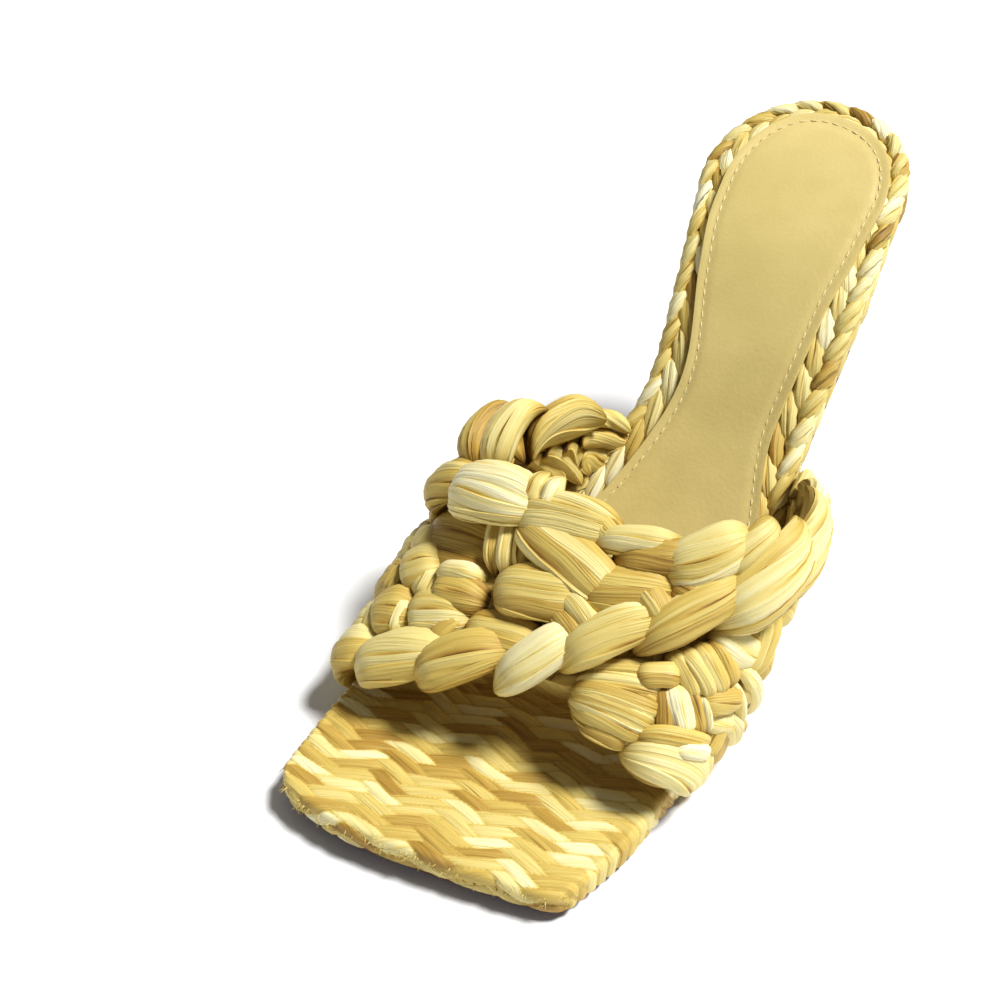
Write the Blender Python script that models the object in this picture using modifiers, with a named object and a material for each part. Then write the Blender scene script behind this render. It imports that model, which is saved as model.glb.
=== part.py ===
"""Raffia mule, left shoe: plaited upper of two crossing bands on a heeled, square-toed sole.

Lengths are millimetres until a vertex is placed, when MM turns them to metres. While it is modelled, the
shoe has its toe at y = 0 and its heel end at y = SHOE_LENGTH, the floor at z = 0 and its outer side at +x.
"""
import math

import bmesh
import bpy
from mathutils import Vector

MM = 0.001
GAP = 0.3

SHOE_LENGTH = 208.0
HEEL_ROUND_START = 179.0
HEEL_ROUND_POWER = 2.15
OUTSOLE_THICKNESS = 2.0
OUTSOLE_INSET = 0.9
OUTSOLE_END = 169.0
INSOLE_THICKNESS = 1.2
INSOLE_START = 64.0
INSOLE_ROUND_START = 177.0
INSOLE_END = 201.0
TIP_HEIGHT = 6.0

# Plan of the footbed: how far each edge lies from the shoe's line.
OUTLINE = (
    # y, medial, lateral
    (-5, 36.5, 36.5),
    (10, 39.5, 38.9),
    (34, 42.1, 42.4),
    (58, 41.5, 42.6),
    (82, 35.5, 41.2),
    (106, 24.0, 36.6),
    (130, 15.5, 30.9),
    (154, 20.4, 30.6),
    (179, 27.7, 27.7),
)

# Front edge of the square toe, from the medial corner (-1) to the lateral one (1).
TOE_EDGE = (
    # across, y
    (-1.00, 2.0),
    (-0.94, -1.6),
    (-0.80, -4.0),
    (-0.45, -5.0),
    (0.10, -2.0),
    (0.60, 2.0),
    (0.88, 4.8),
    (0.96, 6.6),
    (1.00, 9.5),
)

# Side view of the footbed: height of its top, and its thickness square to that.
PROFILE = (
    # y, top, thickness
    (-5, 10.6, 5.6),
    (14, 8.9, 5.9),
    (30, 8.0, 6.0),
    (62, 8.0, 6.0),
    (70, 9.4, 6.2),
    (85, 15.5, 6.8),
    (105, 30.2, 7.6),
    (125, 47.5, 8.2),
    (145, 66.5, 8.6),
    (165, 83.0, 8.8),
    (185, 94.5, 8.8),
    (208, 104.0, 8.6),
)

# Plan of the leather insole, in the same way as the footbed's.
INSOLE = (
    # y, medial, lateral
    (64, 30.0, 37.0),
    (87, 25.6, 36.0),
    (108, 12.0, 30.3),
    (131, 5.7, 22.8),
    (154, 13.8, 22.9),
    (166, 17.8, 24.2),
    (177, 19.4, 24.3),
)

# The last: height of its ridge, and how far each wall swells past the footbed's edge.
LAST = (
    # y, ridge, medial swell, lateral swell
    (24, 12.0, 0.0, 0.0),
    (36, 21.5, 1.0, 0.5),
    (46, 29.5, 3.0, 1.5),
    (56, 36.5, 4.5, 3.0),
    (66, 42.5, 6.0, 5.0),
    (76, 49.0, 7.0, 7.0),
    (86, 58.0, 7.0, 8.5),
    (96, 66.5, 5.5, 8.5),
    (106, 75.0, 4.0, 7.0),
    (118, 86.0, 2.5, 4.5),
    (136, 102.0, 1.5, 2.0),
)
LAST_POWER = 2.5
WRAP = 0.1

# Front and back edges of the upper, by girth: -1 is the medial end, 0 the ridge, 1 the lateral end.
UPPER_EDGE = (
    # girth, front, back
    (-1.00, 37.0, 130.0),
    (-0.90, 33.5, 125.0),
    (-0.60, 29.5, 105.0),
    (-0.40, 29.5, 91.0),
    (-0.20, 32.5, 80.0),
    (0.02, 38.0, 77.0),
    (0.20, 39.5, 80.0),
    (0.35, 38.5, 86.0),
    (0.50, 38.5, 95.0),
    (0.72, 42.0, 111.0),
    (0.90, 47.0, 124.0),
    (1.00, 52.0, 128.0),
)
WALL = 2.6
EDGE_WALL = 1.0
EDGE_ROUND = 5.0
BUNDLE_REACH = 30.0
BUNDLE_CROWN = 0.65
UPPER_GIRTH_CELLS = 64
UPPER_LENGTH_CELLS = 30

# Forms of the plait's raised bundles, in a row: their spacing, length, width, height and the turn in degrees
# from the row to the bundle.
ROPE = dict(spacing=22.0, length=36.0, width=13.0, height=7.6, turn=20)
PLAIT = dict(spacing=16.0, length=18.0, width=11.6, height=6.2, turn=-8)
COUNTER_PLAIT = dict(spacing=16.0, length=18.0, width=11.6, height=6.2, turn=14)

# Rows of the plait: the form of the bundles, and the row's path by girth, y and lift off the last.
ROWS = (
    # over band, front edge first
    (ROPE, ((-0.97, 40, 0.3), (-0.55, 37, 0.4), (-0.3, 36.5, 0.5), (-0.1, 39, 1.5), (0.1, 44, 4), (0.27, 55, 5),
            (0.4, 68.5, 5), (0.5, 84, 5), (0.62, 98, 4.5), (0.8, 116, 2.5), (0.97, 129, 0.5))),
    (PLAIT, ((-0.97, 50, 0), (-0.45, 46.5, 0), (-0.04, 48.5, 0.5))),
    (COUNTER_PLAIT, ((-0.97, 61, 0), (-0.4, 56.5, 0), (-0.05, 58, 1), (0.15, 58.5, 4))),
    (PLAIT, ((-0.97, 72, 0), (-0.45, 67.5, 0), (-0.15, 66, 1.5), (0.05, 68, 4.5), (0.27, 70, 5), (0.36, 75, 4))),
    (COUNTER_PLAIT, ((-0.15, 74.5, 4.5), (0.17, 75.5, 5), (0.28, 79, 5), (0.42, 86, 5), (0.58, 97.5, 4))),
    # under band, medial half, back edge first
    (ROPE, ((-1.0, 126, 0.3), (-0.9, 121, 0.4), (-0.6, 101, 1), (-0.42, 88, 3))),
    (PLAIT, ((-0.97, 112, 0), (-0.72, 97, 0), (-0.55, 86, 1))),
    (COUNTER_PLAIT, ((-0.97, 98, 0), (-0.75, 86, 0), (-0.6, 78, 0))),
    (PLAIT, ((-0.97, 85, 0), (-0.75, 78, 0))),
    # under band, lateral half, front first
    (COUNTER_PLAIT, ((0.66, 56, 0), (0.97, 61, 0))),
    (PLAIT, ((0.52, 68, 0), (0.97, 72, 0))),
    (COUNTER_PLAIT, ((0.6, 80, 0), (0.97, 84, 0))),
    (PLAIT, ((0.72, 94, 0), (0.97, 97, 0))),
    (COUNTER_PLAIT, ((0.85, 108, 0), (0.97, 110, 0))),
)

# Single bundles: the twist of the bands on the medial side, and the fans at the lateral front.
BUNDLES = (
    # girth, y, lift, turn, length, width, height
    (-0.27, 75.5, 6.5, 5, 28.0, 17.0, 7.0),
    (-0.43, 80.0, 3.0, -20, 18.0, 13.0, 7.0),
    (-0.38, 88.0, 2.0, 80, 24.0, 15.0, 7.5),
    (-0.15, 66.0, 3.0, 110, 20.0, 13.0, 5.5),
    (0.30, 46.5, 0.5, -6, 32.0, 20.0, 7.0),
    (0.64, 46.5, 0.3, 4, 30.0, 17.0, 6.5),
    (0.48, 55.5, 0.0, 95, 15.0, 8.0, 5.0),
    (0.57, 55.0, 0.0, 95, 15.0, 8.0, 5.0),
    (0.42, 62.5, 0.0, 30, 24.0, 13.0, 5.5),
)

# Heel block and tip: D-shaped levels from the tip's top (0) to the heel seat (1).
HEEL = (
    # level, breast, back, half width
    (0.00, 177.0, 190.0, 5.0),
    (0.30, 176.6, 190.6, 5.6),
    (0.58, 176.0, 192.0, 6.9),
    (0.76, 174.8, 195.0, 10.5),
    (0.88, 172.6, 199.4, 17.0),
    (1.00, 169.5, 205.5, 25.0),
)
HEEL_LEVELS = 12
SEAT_RINGS = 3
HEEL_SIDES = 20
BREAST_FLAT = 0.55

# Colour, roughness and metallic value of each piece.
FINISH = {
    "footbed": ((0.72, 0.55, 0.22), 0.62, 0.0),
    "outsole": ((0.15, 0.045, 0.035), 0.5, 0.0),
    "insole": ((0.56, 0.43, 0.17), 0.5, 0.0),
    "upper": ((0.76, 0.6, 0.25), 0.55, 0.0),
    "heel": ((0.46, 0.34, 0.18), 0.42, 0.0),
    "heel_tip": ((0.07, 0.055, 0.045), 0.55, 0.0),
}


def smooth(table, column, at):
    """Value of a table's column at a place, on a curve that keeps flats flat and never overshoots."""
    places = [row[0] for row in table]
    values = [row[column] for row in table]
    at = min(max(at, places[0]), places[-1])
    steps = [b - a for a, b in zip(places, places[1:])]
    slopes = [(b - a) / step for a, b, step in zip(values, values[1:], steps)]
    tangents = [slopes[0]]
    for left, right in zip(slopes, slopes[1:]):
        tangents.append(0.0 if left * right <= 0 else 2 * left * right / (left + right))
    tangents.append(slopes[-1])
    i = max(k for k in range(len(steps)) if places[k] <= at or k == 0)
    t = (at - places[i]) / steps[i]
    rise = values[i] * (1 + 2 * t) * (1 - t) ** 2 + values[i + 1] * t * t * (3 - 2 * t)
    return rise + steps[i] * (tangents[i] * t * (1 - t) ** 2 - tangents[i + 1] * t * t * (1 - t))


def bed_top(y):
    return smooth(PROFILE, 1, y)


def bed_drop(y, thickness):
    """Upright depth of a layer that is this thick square to the footbed's slope."""
    slope = (bed_top(y + 1) - bed_top(y - 1)) / 2
    return thickness * math.hypot(1, slope)


def bed_bottom(y):
    return bed_top(y) - bed_drop(y, smooth(PROFILE, 2, y))


def edge(y, side):
    """x of the footbed's edge: side -1 is medial, 1 is lateral."""
    return side * smooth(OUTLINE, 1 if side < 0 else 2, y)


def toe_front(across):
    return smooth(TOE_EDGE, 1, across)


def round_end(across, start, end, power=HEEL_ROUND_POWER):
    return start + (end - start) * (1 - abs(across) ** power) ** (1 / power)


def footbed_place(across, along):
    """Plan of the footbed: across runs from -1, medial, to 1, lateral, and along from 0, toe, to 1, heel."""
    front = toe_front(across)
    back = round_end(across, HEEL_ROUND_START, SHOE_LENGTH)
    y = front + (back - front) * along
    side = -1 if across < 0 else 1
    return edge(min(y, HEEL_ROUND_START), side) * abs(across), y


def outsole_place(across, along):
    """Plan of the outsole: the footbed's, drawn in all round and ended at the heel breast."""
    front = toe_front(across) + OUTSOLE_INSET
    y = front + (OUTSOLE_END - front) * along
    side = -1 if across < 0 else 1
    return (edge(y, side) - side * OUTSOLE_INSET) * abs(across), y


def insole_place(across, along):
    """Plan of the insole: a straight front end under the upper, and a rounded heel end."""
    back = round_end(across, INSOLE_ROUND_START, INSOLE_END)
    y = INSOLE_START + (back - INSOLE_START) * along
    width = smooth(INSOLE, 1 if across < 0 else 2, y)
    return across * width, y


def close_wall(name, bm, far_places):
    """Makes an open sheet a closed solid, with its far side on the places listed for its vertices."""
    number = bm.verts.layers.int.new("number")
    for i, vert in enumerate(bm.verts):
        vert[number] = i
    extruded = bmesh.ops.extrude_face_region(bm, geom=bm.faces[:], use_keep_orig=True)
    for vert in extruded["geom"]:
        if isinstance(vert, bmesh.types.BMVert):
            vert.co = far_places[vert[number]]
    bmesh.ops.recalc_face_normals(bm, faces=bm.faces[:])
    mesh = bpy.data.meshes.new(name)
    bm.to_mesh(mesh)
    bm.free()
    return bpy.data.objects.new(name, mesh)


def slab(name, place, top, bottom, across_cells, along_cells):
    """Layer of the sole: a grid laid on its plan, between two heights that follow its length."""
    bm = bmesh.new()
    bmesh.ops.create_grid(bm, x_segments=across_cells, y_segments=along_cells, size=1.0)
    far_places = []
    for vert in bm.verts:
        x, y = place(math.sin(vert.co.x * math.pi / 2), (vert.co.y + 1) / 2)
        vert.co = Vector((x, y, top(y))) * MM
        far_places.append(Vector((x, y, bottom(y))) * MM)
    return close_wall(name, bm, far_places)


def round_edges(piece, width, segments):
    bevel = piece.modifiers.new("rounded edge", "BEVEL")
    bevel.width = width * MM
    bevel.segments = segments
    bevel.limit_method = "ANGLE"
    bevel.angle_limit = math.radians(50)
    bevel.harden_normals = False


def footbed():
    piece = slab("footbed", footbed_place, bed_top, bed_bottom, 12, 28)
    round_edges(piece, 1.6, 1)
    return piece


def outsole():
    return slab(
        "outsole", outsole_place, lambda y: bed_bottom(y) - GAP,
        lambda y: bed_bottom(y) - bed_drop(y, OUTSOLE_THICKNESS), 8, 24)


def insole():
    return slab(
        "insole", insole_place, lambda y: bed_top(y) + GAP + bed_drop(y, INSOLE_THICKNESS),
        lambda y: bed_top(y) + GAP, 10, 15)


def last_place(girth, y):
    """Point on the inside of the upper: up the footbed's side, then over the last."""
    side = -1 if girth < 0 else 1
    centre = (edge(y, -1) + edge(y, 1)) / 2
    half_width = abs(edge(y, side) - centre) + GAP
    top = bed_top(y)
    rise = (1 - abs(girth)) / WRAP
    if rise < 1:
        return Vector((centre + side * half_width, y, bed_bottom(y) + rise * (top - bed_bottom(y))))
    angle = (1 - abs(girth) / (1 - WRAP)) * math.pi / 2
    swell = smooth(LAST, 2 if side < 0 else 3, y)
    out = half_width * max(0.0, math.cos(angle)) ** (2 / LAST_POWER) + swell * math.sin(2 * angle)
    return Vector((centre + side * out, y, top + (smooth(LAST, 1, y) - top) * math.sin(angle) ** (2 / LAST_POWER)))


def last_frame(girth, y):
    """Point on the last, the directions along its girth and towards the heel, and its outward normal."""
    step = 0.012
    around = last_place(min(girth + step, 1.0), y) - last_place(max(girth - step, -1.0), y)
    around.normalize()
    heelward = last_place(girth, y + 1) - last_place(girth, y - 1)
    normal = around.cross(heelward).normalized()
    return last_place(girth, y), around, normal.cross(around), normal


def bundle(girth, y, lift, turn, length, width, height):
    """A raised bundle of strips: its middle on the last, its two half axes, its lift and its height."""
    middle, around, heelward, normal = last_frame(girth, y)
    turn = math.radians(turn)
    along = around * math.cos(turn) + heelward * math.sin(turn)
    across = heelward * math.cos(turn) - around * math.sin(turn)
    return middle, along * 2 / length, across * 2 / width, lift, height


def row_bundles(form, path):
    """Bundles at even steps along a row of the plait."""
    steps = 60
    girths = [path[0][0] + (path[-1][0] - path[0][0]) * i / steps for i in range(steps + 1)]
    places = [last_place(girth, smooth(path, 1, girth)) for girth in girths]
    travelled = [0.0]
    for a, b in zip(places, places[1:]):
        travelled.append(travelled[-1] + (b - a).length)
    count = max(1, round(travelled[-1] / form["spacing"]))
    made = []
    for k in range(count):
        at = travelled[-1] * (k + 0.5) / count
        i = max(j for j in range(steps) if travelled[j] <= at)
        y = smooth(path, 1, girths[i])
        _, around, heelward, _ = last_frame(girths[i], y)
        run = places[i + 1] - places[i]
        heading = math.degrees(math.atan2(run.dot(heelward), run.dot(around)))
        made.append(bundle(
            girths[i], y, smooth(path, 2, girths[i]), heading + form["turn"],
            form["length"], form["width"], form["height"]))
    return made


def wall_height(point, bundles):
    """How far the outside of the plaited wall stands off a point of the last."""
    height = WALL
    for middle, along, across, lift, rise in bundles:
        offset = point - middle
        reach = offset.dot(along) ** 2 + offset.dot(across) ** 2
        if reach < 1 and offset.length < BUNDLE_REACH:
            height = max(height, WALL + (lift + rise - WALL) * (1 - reach) ** BUNDLE_CROWN)
    return height


def upper():
    """One wall over the last, smooth inside, with the plait's bundles raised on its outside."""
    bundles = [bundle(*row) for row in BUNDLES]
    for form, path in ROWS:
        bundles += row_bundles(form, path)
    bm = bmesh.new()
    bmesh.ops.create_grid(bm, x_segments=UPPER_GIRTH_CELLS, y_segments=UPPER_LENGTH_CELLS, size=1.0)
    inner_places = []
    for vert in bm.verts:
        girth = vert.co.x
        along = (vert.co.y + 1) / 2
        front = smooth(UPPER_EDGE, 1, girth)
        back = smooth(UPPER_EDGE, 2, girth)
        y = front + (back - front) * along
        point, _, _, normal = last_frame(girth, y)
        to_edge = min(1.0, (back - front) * min(along, 1 - along) / EDGE_ROUND)
        rounding = math.sqrt(1 - (1 - to_edge) ** 2)
        height = EDGE_WALL + (wall_height(point, bundles) - EDGE_WALL) * rounding
        vert.co = (point + normal * height) * MM
        inner_places.append(point * MM)
    return close_wall("upper", bm, inner_places)


def heel_ring(level, angle):
    """Plan of the heel at a level: a flat breast towards the toe and a rounded back."""
    breast = smooth(HEEL, 1, level)
    back = smooth(HEEL, 2, level)
    half_width = smooth(HEEL, 3, level)
    middle = breast + (back - breast) * BREAST_FLAT / (1 + BREAST_FLAT)
    depth = max(math.sin(angle), -BREAST_FLAT)
    return half_width * math.cos(angle), middle + (back - middle) * depth


def heel():
    """Covered heel block: rings from the flat on the tip up to the heel seat, closed in under the footbed."""
    bm = bmesh.new()
    rings = HEEL_LEVELS + SEAT_RINGS
    bmesh.ops.create_grid(bm, x_segments=HEEL_SIDES, y_segments=rings, size=1.0)
    seat_middle = (smooth(HEEL, 1, 1.0) + smooth(HEEL, 2, 1.0)) / 2
    for vert in bm.verts:
        angle = math.pi * vert.co.x
        ring = (vert.co.y + 1) / 2 * rings
        level = min(1.0, ring / HEEL_LEVELS)
        spread = 1 - max(0.0, ring - HEEL_LEVELS) / SEAT_RINGS
        x, y = heel_ring(level, angle)
        x = x * spread
        y = seat_middle + (y - seat_middle) * spread if level == 1.0 else y
        seat = bed_bottom(heel_ring(1.0, angle)[1]) if level < 1.0 else bed_bottom(y)
        foot = TIP_HEIGHT + GAP
        vert.co = Vector((x, y, foot + (seat - GAP - foot) * level)) * MM
    bmesh.ops.remove_doubles(bm, verts=bm.verts[:], dist=0.01 * MM)
    bmesh.ops.holes_fill(bm, edges=[e for e in bm.edges if e.is_boundary])
    bmesh.ops.recalc_face_normals(bm, faces=bm.faces[:])
    mesh = bpy.data.meshes.new("heel")
    bm.to_mesh(mesh)
    bm.free()
    return bpy.data.objects.new("heel", mesh)


def heel_tip():
    """Wearing piece under the heel, in the plan of the heel's lowest level."""
    bm = bmesh.new()
    bmesh.ops.create_cone(bm, cap_ends=True, segments=HEEL_SIDES, radius1=1.0, radius2=1.0, depth=1.0)
    for vert in bm.verts:
        x, y = heel_ring(0.0, math.atan2(vert.co.y, vert.co.x))
        vert.co = Vector((x, y, TIP_HEIGHT if vert.co.z > 0 else 0.0)) * MM
    mesh = bpy.data.meshes.new("heel_tip")
    bm.to_mesh(mesh)
    bm.free()
    return bpy.data.objects.new("heel_tip", mesh)


def give_finish(piece):
    colour, roughness, metallic = FINISH[piece.name]
    material = bpy.data.materials.new(piece.name + " finish")
    material.use_nodes = True
    shader = material.node_tree.nodes["Principled BSDF"]
    shader.inputs["Base Color"].default_value = (*colour, 1.0)
    shader.inputs["Roughness"].default_value = roughness
    shader.inputs["Metallic"].default_value = metallic
    piece.data.materials.append(material)
    piece.data.shade_smooth()
    piece.data.set_sharp_from_angle(angle=math.radians(40))


for old in list(bpy.data.objects):
    bpy.data.objects.remove(old)

mule = bpy.data.collections.new("raffia_mule")
bpy.context.scene.collection.children.link(mule)
pieces = [outsole(), footbed(), insole(), upper(), heel(), heel_tip()]

# The part's origin is on the floor, under the middle of the whole shoe.
corners = [vert.co for piece in pieces for vert in piece.data.vertices]
middle_x = (min(c.x for c in corners) + max(c.x for c in corners)) / 2
middle_y = (min(c.y for c in corners) + max(c.y for c in corners)) / 2
carrier = bpy.data.objects.new("mule_carrier", None)
carrier.location = (-middle_x, -middle_y, 0.0)
mule.objects.link(carrier)
for piece in pieces:
    give_finish(piece)
    mule.objects.link(piece)
    piece.parent = carrier
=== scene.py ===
"""Looks of the raffia mule, a left shoe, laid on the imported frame.

Lengths are millimetres in the shoe's own frame: the toe at y = 0, the heel end at y = SHOE_LENGTH, the
floor at z = 0 and the outer side at +x. put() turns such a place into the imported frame, in metres.
"""
import math
import random
from bisect import bisect_right
from functools import lru_cache

import bmesh
import bpy
from mathutils import Matrix, Vector


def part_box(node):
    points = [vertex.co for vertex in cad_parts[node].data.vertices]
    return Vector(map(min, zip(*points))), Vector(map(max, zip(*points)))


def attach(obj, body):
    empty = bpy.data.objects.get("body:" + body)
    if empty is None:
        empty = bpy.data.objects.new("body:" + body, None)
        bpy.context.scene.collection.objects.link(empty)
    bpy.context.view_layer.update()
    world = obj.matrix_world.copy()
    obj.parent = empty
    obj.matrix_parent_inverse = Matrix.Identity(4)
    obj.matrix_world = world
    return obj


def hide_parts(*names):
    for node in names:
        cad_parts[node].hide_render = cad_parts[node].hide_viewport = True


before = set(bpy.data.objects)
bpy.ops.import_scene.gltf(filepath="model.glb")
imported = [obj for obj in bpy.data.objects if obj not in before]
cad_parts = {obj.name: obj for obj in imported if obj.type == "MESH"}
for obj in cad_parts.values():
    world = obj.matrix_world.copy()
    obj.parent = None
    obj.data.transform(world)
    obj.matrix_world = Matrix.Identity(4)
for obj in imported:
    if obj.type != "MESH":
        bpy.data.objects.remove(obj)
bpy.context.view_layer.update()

# Outsole: a thin leather sole under the forepart and the waist, cut a little smaller than the footbed.
# Its edge is sanded and painted dark red-brown, and it is cemented to the footbed.
MM = 0.001
GAP = 0.3
SHOE_LENGTH = 208.0
OUTSOLE_THICKNESS = 2.0
OUTSOLE_INSET = 0.9
OUTSOLE_END = 169.0
OUTSOLE_EDGE_ROUND = 0.5
OUTSOLE_CELLS = (20, 60)

# Plan of the footbed: how far each edge lies from the shoe's line.
OUTLINE = (
    # y, medial, lateral
    (-5, 36.5, 36.5),
    (10, 39.5, 38.9),
    (34, 42.1, 42.4),
    (58, 41.5, 42.6),
    (82, 35.5, 41.2),
    (106, 24, 36.6),
    (130, 15.5, 30.9),
    (154, 20.4, 30.6),
    (179, 27.7, 27.7),
)

# Front edge of the square toe, from the medial corner (-1) to the lateral one (1).
TOE_EDGE = (
    # across, y
    (-1, 2),
    (-0.94, -1.6),
    (-0.8, -4),
    (-0.45, -5),
    (0.1, -2),
    (0.6, 2),
    (0.88, 4.8),
    (0.96, 6.6),
    (1, 9.5),
)

# Side view of the footbed: height of its top, and its thickness square to that.
PROFILE = (
    # y, top, thickness
    (-5, 10.6, 5.6),
    (14, 8.9, 5.9),
    (30, 8, 6),
    (62, 8, 6),
    (70, 9.4, 6.2),
    (85, 15.5, 6.8),
    (105, 30.2, 7.6),
    (125, 47.5, 8.2),
    (145, 66.5, 8.6),
    (165, 83, 8.8),
    (185, 94.5, 8.8),
    (208, 104, 8.6),
)

# The toe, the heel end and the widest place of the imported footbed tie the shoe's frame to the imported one.
footbed_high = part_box("footbed")[1]
shoe_line = Vector((
    footbed_high[0] / MM - max(row[2] for row in OUTLINE),
    footbed_high[1] / MM - SHOE_LENGTH,
    0.0,
))


def put(point):
    """A place in the shoe's frame, in millimetres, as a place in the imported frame."""
    return (point + shoe_line) * MM


def between(first, second, share):
    """The value that lies this share of the way from the first to the second."""
    return first + (second - first) * share


def side_of(across):
    """The side of the shoe's line that a place is on: -1 is medial, 1 is lateral."""
    return -1 if across < 0 else 1


@lru_cache(maxsize=None)
def curve(table, column):
    """Places, values and tangents of a curve through a table's column, flat where the table is flat."""
    places = [row[0] for row in table]
    values = [row[column] for row in table]
    slopes = [(values[i + 1] - values[i]) / (places[i + 1] - places[i]) for i in range(len(table) - 1)]
    tangents = [slopes[0]]
    for left, right in zip(slopes, slopes[1:]):
        tangents.append(0.0 if left * right <= 0 else 2 * left * right / (left + right))
    tangents.append(slopes[-1])
    return places, values, tangents


def smooth(table, column, at):
    """Value of a table's column at a place, on a curve that never overshoots."""
    places, values, tangents = curve(table, column)
    at = min(max(at, places[0]), places[-1])
    i = min(bisect_right(places, at), len(places) - 1) - 1
    step = places[i + 1] - places[i]
    t = (at - places[i]) / step
    rise = values[i] * (1 + 2 * t) * (1 - t) ** 2 + values[i + 1] * t * t * (3 - 2 * t)
    return rise + step * (tangents[i] * t * (1 - t) ** 2 - tangents[i + 1] * t * t * (1 - t))


def bed_top(y):
    return smooth(PROFILE, 1, y)


def bed_drop(y, thickness):
    """Upright depth of a layer that is this thick square to the footbed's slope."""
    slope = (bed_top(y + 1) - bed_top(y - 1)) / 2
    return thickness * math.hypot(1, slope)


def bed_normal(y):
    """Upward normal of the footbed's top."""
    return Vector((0.0, bed_top(y - 1) - bed_top(y + 1), 2.0)).normalized()


def bed_bottom(y):
    return bed_top(y) - bed_drop(y, smooth(PROFILE, 2, y))


def edge(y, side):
    """x of the footbed's edge on one side."""
    return side * smooth(OUTLINE, 1 if side < 0 else 2, y)


def outsole_place(across, along):
    """Plan of the outsole: the footbed's, drawn in all round and ended at the heel breast."""
    y = between(smooth(TOE_EDGE, 1, across) + OUTSOLE_INSET, OUTSOLE_END, along)
    side = side_of(across)
    return (edge(y, side) - side * OUTSOLE_INSET) * abs(across), y


def new_sheet(cells):
    """A flat sheet from -1 to 1 each way, with so many cells across and along."""
    bm = bmesh.new()
    bmesh.ops.create_grid(bm, x_segments=cells[0], y_segments=cells[1], size=1.0)
    return bm


def draw_out(bm, places):
    """Draws a sheet's second side out of it, to one place for each vertex, which closes it into a solid."""
    number = bm.verts.layers.int.new("number")
    for i, vert in enumerate(bm.verts):
        vert[number] = i
    drawn = bmesh.ops.extrude_face_region(bm, geom=bm.faces[:], use_keep_orig=True)
    for vert in drawn["geom"]:
        if isinstance(vert, bmesh.types.BMVert):
            vert.co = places[vert[number]]
    bmesh.ops.recalc_face_normals(bm, faces=bm.faces[:])


def slab(place, top, bottom, cells):
    """Layer of the sole: a sheet laid on its plan and drawn down to its underside."""
    bm = new_sheet(cells)
    under = []
    for vert in bm.verts:
        x, y = place(math.sin(vert.co.x * math.pi / 2), (vert.co.y + 1) / 2)
        vert.co = put(Vector((x, y, top(x, y))))
        under.append(put(Vector((x, y, bottom(y)))))
    draw_out(bm, under)
    return bm


def add_object(name, data):
    """An object of some data, linked to the scene."""
    made = bpy.data.objects.new(name, data)
    bpy.context.scene.collection.objects.link(made)
    return made


def make_piece(name, bm, *materials):
    """Object of a finished bmesh, smooth shaded, with its materials."""
    mesh = bpy.data.meshes.new(name)
    bm.to_mesh(mesh)
    bm.free()
    mesh.shade_smooth()
    for material in materials:
        mesh.materials.append(material)
    return add_object(name, mesh)


SHARP_ANGLE = 50.0
ROUND_SEGMENTS = 3


def round_edges(piece, width):
    """Rounds the sharp edges of a piece, so that they catch the light."""
    bevel = piece.modifiers.new("rounded edge", "BEVEL")
    bevel.width = width * MM
    bevel.segments = ROUND_SEGMENTS
    bevel.limit_method = "ANGLE"
    bevel.angle_limit = math.radians(SHARP_ANGLE)


def hex_colour(code):
    """Linear colour of an sRGB hex value."""
    parts = [int(code[i:i + 2], 16) / 255 for i in (1, 3, 5)]
    return (*[c / 12.92 if c <= 0.04045 else ((c + 0.055) / 1.055) ** 2.4 for c in parts], 1.0)


def set_inputs(node, inputs):
    """Sets a node's inputs to values, or links them to outputs. A node stands for its first output."""
    for socket, value in inputs.items():
        if isinstance(value, bpy.types.Node):
            value = value.outputs[0]
        if isinstance(value, bpy.types.NodeSocket):
            node.id_data.links.new(value, node.inputs[socket])
        else:
            node.inputs[socket].default_value = value


def add_node(tree, kind, inputs=None, **settings):
    """A shader node with its own settings, and with its inputs set or linked."""
    made = tree.nodes.new("ShaderNode" + kind)
    for name, value in settings.items():
        setattr(made, name, value)
    set_inputs(made, inputs or {})
    return made


def new_material(name):
    """A material, its node tree and its Principled shader."""
    material = bpy.data.materials.new(name)
    material.use_nodes = True
    return material, material.node_tree, material.node_tree.nodes["Principled BSDF"]


def set_ramp(ramp, *stops):
    """Stops of a colour ramp, each a place and a hex colour."""
    elements = ramp.color_ramp.elements
    while len(elements) < len(stops):
        elements.new(1.0)
    for element, (place, code) in zip(elements, stops):
        element.position = place
        element.color = hex_colour(code)


def clouded_material(name, size, *stops, **noise):
    """A material in clouds of a size in mm, with its tree, its shader, its place and the clouds."""
    material, tree, shader = new_material(name)
    place = add_node(tree, "TexCoord").outputs["Object"]
    clouds = add_node(tree, "TexNoise", {"Vector": place, "Scale": 1 / (size * MM), **noise})
    ramp = add_node(tree, "ValToRGB", {"Fac": clouds})
    set_ramp(ramp, *stops)
    set_inputs(shader, {"Base Color": ramp})
    return material, tree, shader, place, clouds


def give_relief(shader, height, depth, strength, roughness):
    """Gives a finish its fine relief, so many mm deep, and its roughness."""
    bump = add_node(shader.id_data, "Bump", {"Height": height, "Distance": depth * MM, "Strength": strength})
    set_inputs(shader, {"Normal": bump, "Roughness": roughness})


# Vegetable-tanned sole leather, painted and polished: close pores, low sheen, cloudy dark red-brown.
PORE_SIZE = 0.7
sole_leather, tree, shader, place, _ = clouded_material(
    "painted sole leather", 14.0, (0.3, "#4A2622"), (0.7, "#6E3C33"), Detail=4.0)
pores = add_node(tree, "TexNoise", {"Vector": place, "Scale": 1 / (PORE_SIZE * MM)})
give_relief(shader, pores, depth=0.1, strength=0.35, roughness=0.46)

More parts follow.
